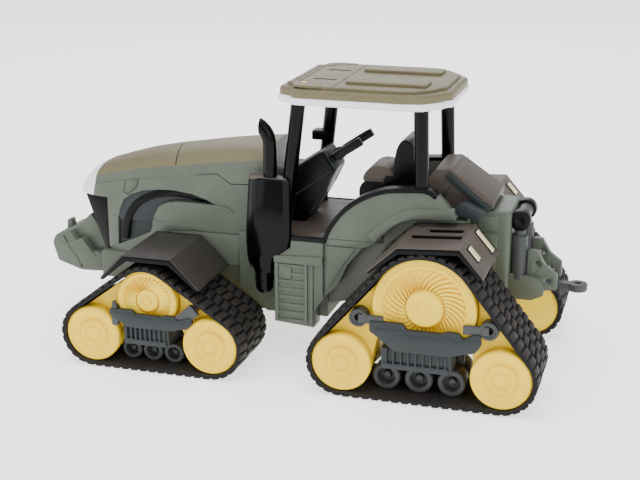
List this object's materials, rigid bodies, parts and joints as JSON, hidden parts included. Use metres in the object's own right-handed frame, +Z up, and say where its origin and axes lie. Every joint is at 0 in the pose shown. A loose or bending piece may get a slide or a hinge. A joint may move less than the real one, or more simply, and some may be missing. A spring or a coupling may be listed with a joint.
{
  "type": "toy four-track farm tractor",
  "caption": "Play-scale farm tractor on triangular rubber track units at each corner, with an open cab, wheel spools, fenders, exhaust and a rear drawbar.",
  "frame": {"origin": "centre of the footprint on the ground", "axes": "+X forward to the front bracket, +Y to the tractor's left, +Z up"},
  "size_m": [0.39, 0.191, 0.1957],
  "materials": {
    "body_green": "moulded ABS, satin",
    "roof_olive": "moulded ABS, satin",
    "taupe": "moulded ABS, satin",
    "black_plastic": "moulded ABS, satin black",
    "white_trim": "painted trim",
    "wheel_yellow": "moulded polypropylene, pale yellow",
    "slate": "moulded ABS, slate grey",
    "roller_grey": "moulded ABS, mid grey",
    "belt_rubber": "soft moulded rubber",
    "seat_pad": "soft vinyl pad"
  },
  "bodies": {
    "root": {"chassis": "body_green", "front_axle": "body_green", "front_bracket": "body_green", "hood": "body_green", "nose_cap": "white_trim", "grille_insert": "black_plastic", "exhaust": "black_plastic", "cab_floor": "taupe", "cab_sides": "body_green", "roll_frame": "black_plastic", "console": "black_plastic", "seat_frame": "black_plastic", "seat_cushion": "seat_pad", "roof": "roof_olive", "roof_trim": "white_trim", "rear_housing": "taupe", "hitch_housing": "body_green", "lift_rams": "roller_grey", "front_left_fender": "taupe", "front_right_fender": "taupe", "rear_left_fender": "taupe", "rear_right_fender": "taupe"},
    "front_left_unit": {"front_left_belt": "belt_rubber", "front_left_carrier": "wheel_yellow", "front_left_bogie_frame": "slate"},
    "front_left_drive": {"front_left_drive_wheel": "wheel_yellow"},
    "front_left_front_idler": {"front_left_front_idler": "wheel_yellow"},
    "front_left_rear_idler": {"front_left_rear_idler": "wheel_yellow"},
    "front_left_roller_1": {"front_left_roller_1": "roller_grey"},
    "front_left_roller_2": {"front_left_roller_2": "roller_grey"},
    "front_left_roller_3": {"front_left_roller_3": "roller_grey"},
    "front_right_unit": {"front_right_belt": "belt_rubber", "front_right_carrier": "wheel_yellow", "front_right_bogie_frame": "slate"},
    "front_right_drive": {"front_right_drive_wheel": "wheel_yellow"},
    "front_right_front_idler": {"front_right_front_idler": "wheel_yellow"},
    "front_right_rear_idler": {"front_right_rear_idler": "wheel_yellow"},
    "front_right_roller_1": {"front_right_roller_1": "roller_grey"},
    "front_right_roller_2": {"front_right_roller_2": "roller_grey"},
    "front_right_roller_3": {"front_right_roller_3": "roller_grey"},
    "rear_left_unit": {"rear_left_belt": "belt_rubber", "rear_left_carrier": "wheel_yellow", "rear_left_bogie_frame": "slate"},
    "rear_left_drive": {"rear_left_drive_wheel": "wheel_yellow"},
    "rear_left_front_idler": {"rear_left_front_idler": "wheel_yellow"},
    "rear_left_rear_idler": {"rear_left_rear_idler": "wheel_yellow"},
    "rear_left_roller_1": {"rear_left_roller_1": "roller_grey"},
    "rear_left_roller_2": {"rear_left_roller_2": "roller_grey"},
    "rear_left_roller_3": {"rear_left_roller_3": "roller_grey"},
    "rear_right_unit": {"rear_right_belt": "belt_rubber", "rear_right_carrier": "wheel_yellow", "rear_right_bogie_frame": "slate"},
    "rear_right_drive": {"rear_right_drive_wheel": "wheel_yellow"},
    "rear_right_front_idler": {"rear_right_front_idler": "wheel_yellow"},
    "rear_right_rear_idler": {"rear_right_rear_idler": "wheel_yellow"},
    "rear_right_roller_1": {"rear_right_roller_1": "roller_grey"},
    "rear_right_roller_2": {"rear_right_roller_2": "roller_grey"},
    "rear_right_roller_3": {"rear_right_roller_3": "roller_grey"},
    "yoke": {"steering_yoke": "black_plastic"},
    "drawbar": {"drawbar": "roller_grey"}
  },
  "joints": [
    {"name": "front_left_rock", "type": "hinge", "parent": "root", "child": "front_left_unit", "pos_m": [0.0873, 0.068, 0.0505], "axis": [0, 1, 0], "range_deg": [-8, 8]},
    {"name": "front_left_drive_spin", "type": "hinge", "parent": "front_left_unit", "child": "front_left_drive", "pos_m": [0.0873, 0.068, 0.0505], "axis": [0, 1, 0], "continuous": true},
    {"name": "front_left_front_idler_spin", "type": "hinge", "parent": "front_left_unit", "child": "front_left_front_idler", "pos_m": [0.1277, 0.068, 0.0234], "axis": [0, 1, 0], "continuous": true},
    {"name": "front_left_rear_idler_spin", "type": "hinge", "parent": "front_left_unit", "child": "front_left_rear_idler", "pos_m": [0.042, 0.068, 0.0234], "axis": [0, 1, 0], "continuous": true},
    {"name": "front_left_roller_1_spin", "type": "hinge", "parent": "front_left_unit", "child": "front_left_roller_1", "pos_m": [0.1036, 0.068, 0.0111], "axis": [0, 1, 0], "continuous": true},
    {"name": "front_left_roller_2_spin", "type": "hinge", "parent": "front_left_unit", "child": "front_left_roller_2", "pos_m": [0.0881, 0.068, 0.0111], "axis": [0, 1, 0], "continuous": true},
    {"name": "front_left_roller_3_spin", "type": "hinge", "parent": "front_left_unit", "child": "front_left_roller_3", "pos_m": [0.0726, 0.068, 0.0111], "axis": [0, 1, 0], "continuous": true},
    {"name": "front_right_rock", "type": "hinge", "parent": "root", "child": "front_right_unit", "pos_m": [0.0873, -0.068, 0.0505], "axis": [0, 1, 0], "range_deg": [-8, 8]},
    {"name": "front_right_drive_spin", "type": "hinge", "parent": "front_right_unit", "child": "front_right_drive", "pos_m": [0.0873, -0.068, 0.0505], "axis": [0, 1, 0], "continuous": true},
    {"name": "front_right_front_idler_spin", "type": "hinge", "parent": "front_right_unit", "child": "front_right_front_idler", "pos_m": [0.1277, -0.068, 0.0234], "axis": [0, 1, 0], "continuous": true},
    {"name": "front_right_rear_idler_spin", "type": "hinge", "parent": "front_right_unit", "child": "front_right_rear_idler", "pos_m": [0.042, -0.068, 0.0234], "axis": [0, 1, 0], "continuous": true},
    {"name": "front_right_roller_1_spin", "type": "hinge", "parent": "front_right_unit", "child": "front_right_roller_1", "pos_m": [0.1036, -0.068, 0.0111], "axis": [0, 1, 0], "continuous": true},
    {"name": "front_right_roller_2_spin", "type": "hinge", "parent": "front_right_unit", "child": "front_right_roller_2", "pos_m": [0.0881, -0.068, 0.0111], "axis": [0, 1, 0], "continuous": true},
    {"name": "front_right_roller_3_spin", "type": "hinge", "parent": "front_right_unit", "child": "front_right_roller_3", "pos_m": [0.0726, -0.068, 0.0111], "axis": [0, 1, 0], "continuous": true},
    {"name": "rear_left_rock", "type": "hinge", "parent": "root", "child": "rear_left_unit", "pos_m": [-0.102, 0.068, 0.065], "axis": [0, 1, 0], "range_deg": [-8, 8]},
    {"name": "rear_left_drive_spin", "type": "hinge", "parent": "rear_left_unit", "child": "rear_left_drive", "pos_m": [-0.102, 0.068, 0.065], "axis": [0, 1, 0], "continuous": true},
    {"name": "rear_left_front_idler_spin", "type": "hinge", "parent": "rear_left_unit", "child": "rear_left_front_idler", "pos_m": [-0.0485, 0.068, 0.0237], "axis": [0, 1, 0], "continuous": true},
    {"name": "rear_left_rear_idler_spin", "type": "hinge", "parent": "rear_left_unit", "child": "rear_left_rear_idler", "pos_m": [-0.1525, 0.068, 0.0237], "axis": [0, 1, 0], "continuous": true},
    {"name": "rear_left_roller_1_spin", "type": "hinge", "parent": "rear_left_unit", "child": "rear_left_roller_1", "pos_m": [-0.0765, 0.068, 0.0131], "axis": [0, 1, 0], "continuous": true},
    {"name": "rear_left_roller_2_spin", "type": "hinge", "parent": "rear_left_unit", "child": "rear_left_roller_2", "pos_m": [-0.098, 0.068, 0.0131], "axis": [0, 1, 0], "continuous": true},
    {"name": "rear_left_roller_3_spin", "type": "hinge", "parent": "rear_left_unit", "child": "rear_left_roller_3", "pos_m": [-0.1195, 0.068, 0.0131], "axis": [0, 1, 0], "continuous": true},
    {"name": "rear_right_rock", "type": "hinge", "parent": "root", "child": "rear_right_unit", "pos_m": [-0.102, -0.068, 0.065], "axis": [0, 1, 0], "range_deg": [-8, 8]},
    {"name": "rear_right_drive_spin", "type": "hinge", "parent": "rear_right_unit", "child": "rear_right_drive", "pos_m": [-0.102, -0.068, 0.065], "axis": [0, 1, 0], "continuous": true},
    {"name": "rear_right_front_idler_spin", "type": "hinge", "parent": "rear_right_unit", "child": "rear_right_front_idler", "pos_m": [-0.0485, -0.068, 0.0237], "axis": [0, 1, 0], "continuous": true},
    {"name": "rear_right_rear_idler_spin", "type": "hinge", "parent": "rear_right_unit", "child": "rear_right_rear_idler", "pos_m": [-0.1525, -0.068, 0.0237], "axis": [0, 1, 0], "continuous": true},
    {"name": "rear_right_roller_1_spin", "type": "hinge", "parent": "rear_right_unit", "child": "rear_right_roller_1", "pos_m": [-0.0765, -0.068, 0.0131], "axis": [0, 1, 0], "continuous": true},
    {"name": "rear_right_roller_2_spin", "type": "hinge", "parent": "rear_right_unit", "child": "rear_right_roller_2", "pos_m": [-0.098, -0.068, 0.0131], "axis": [0, 1, 0], "continuous": true},
    {"name": "rear_right_roller_3_spin", "type": "hinge", "parent": "rear_right_unit", "child": "rear_right_roller_3", "pos_m": [-0.1195, -0.068, 0.0131], "axis": [0, 1, 0], "continuous": true},
    {"name": "steering_turn", "type": "hinge", "parent": "root", "child": "yoke", "pos_m": [-0.0165, 0, 0.136], "axis": [-0.829, 0, 0.5592], "range_deg": [-60, 60]},
    {"name": "drawbar_swing", "type": "hinge", "parent": "root", "child": "drawbar", "pos_m": [-0.155, 0, 0.058], "axis": [0, 0, 1], "range_deg": [-12, 12]}
  ],
  "couplings": [
    {"joint": "front_left_front_idler_spin", "follows": "front_left_drive_spin", "ratio": 1.1026},
    {"joint": "front_left_rear_idler_spin", "follows": "front_left_drive_spin", "ratio": 1.1026},
    {"joint": "front_left_roller_1_spin", "follows": "front_left_drive_spin", "ratio": 2.9861},
    {"joint": "front_left_roller_2_spin", "follows": "front_left_drive_spin", "ratio": 2.9861},
    {"joint": "front_left_roller_3_spin", "follows": "front_left_drive_spin", "ratio": 2.9861},
    {"joint": "front_right_front_idler_spin", "follows": "front_right_drive_spin", "ratio": 1.1026},
    {"joint": "front_right_rear_idler_spin", "follows": "front_right_drive_spin", "ratio": 1.1026},
    {"joint": "front_right_roller_1_spin", "follows": "front_right_drive_spin", "ratio": 2.9861},
    {"joint": "front_right_roller_2_spin", "follows": "front_right_drive_spin", "ratio": 2.9861},
    {"joint": "front_right_roller_3_spin", "follows": "front_right_drive_spin", "ratio": 2.9861},
    {"joint": "rear_left_front_idler_spin", "follows": "rear_left_drive_spin", "ratio": 1.6919},
    {"joint": "rear_left_rear_idler_spin", "follows": "rear_left_drive_spin", "ratio": 1.6919},
    {"joint": "rear_left_roller_1_spin", "follows": "rear_left_drive_spin", "ratio": 3.6413},
    {"joint": "rear_left_roller_2_spin", "follows": "rear_left_drive_spin", "ratio": 3.6413},
    {"joint": "rear_left_roller_3_spin", "follows": "rear_left_drive_spin", "ratio": 3.6413},
    {"joint": "rear_right_front_idler_spin", "follows": "rear_right_drive_spin", "ratio": 1.6919},
    {"joint": "rear_right_rear_idler_spin", "follows": "rear_right_drive_spin", "ratio": 1.6919},
    {"joint": "rear_right_roller_1_spin", "follows": "rear_right_drive_spin", "ratio": 3.6413},
    {"joint": "rear_right_roller_2_spin", "follows": "rear_right_drive_spin", "ratio": 3.6413},
    {"joint": "rear_right_roller_3_spin", "follows": "rear_right_drive_spin", "ratio": 3.6413}
  ]
}
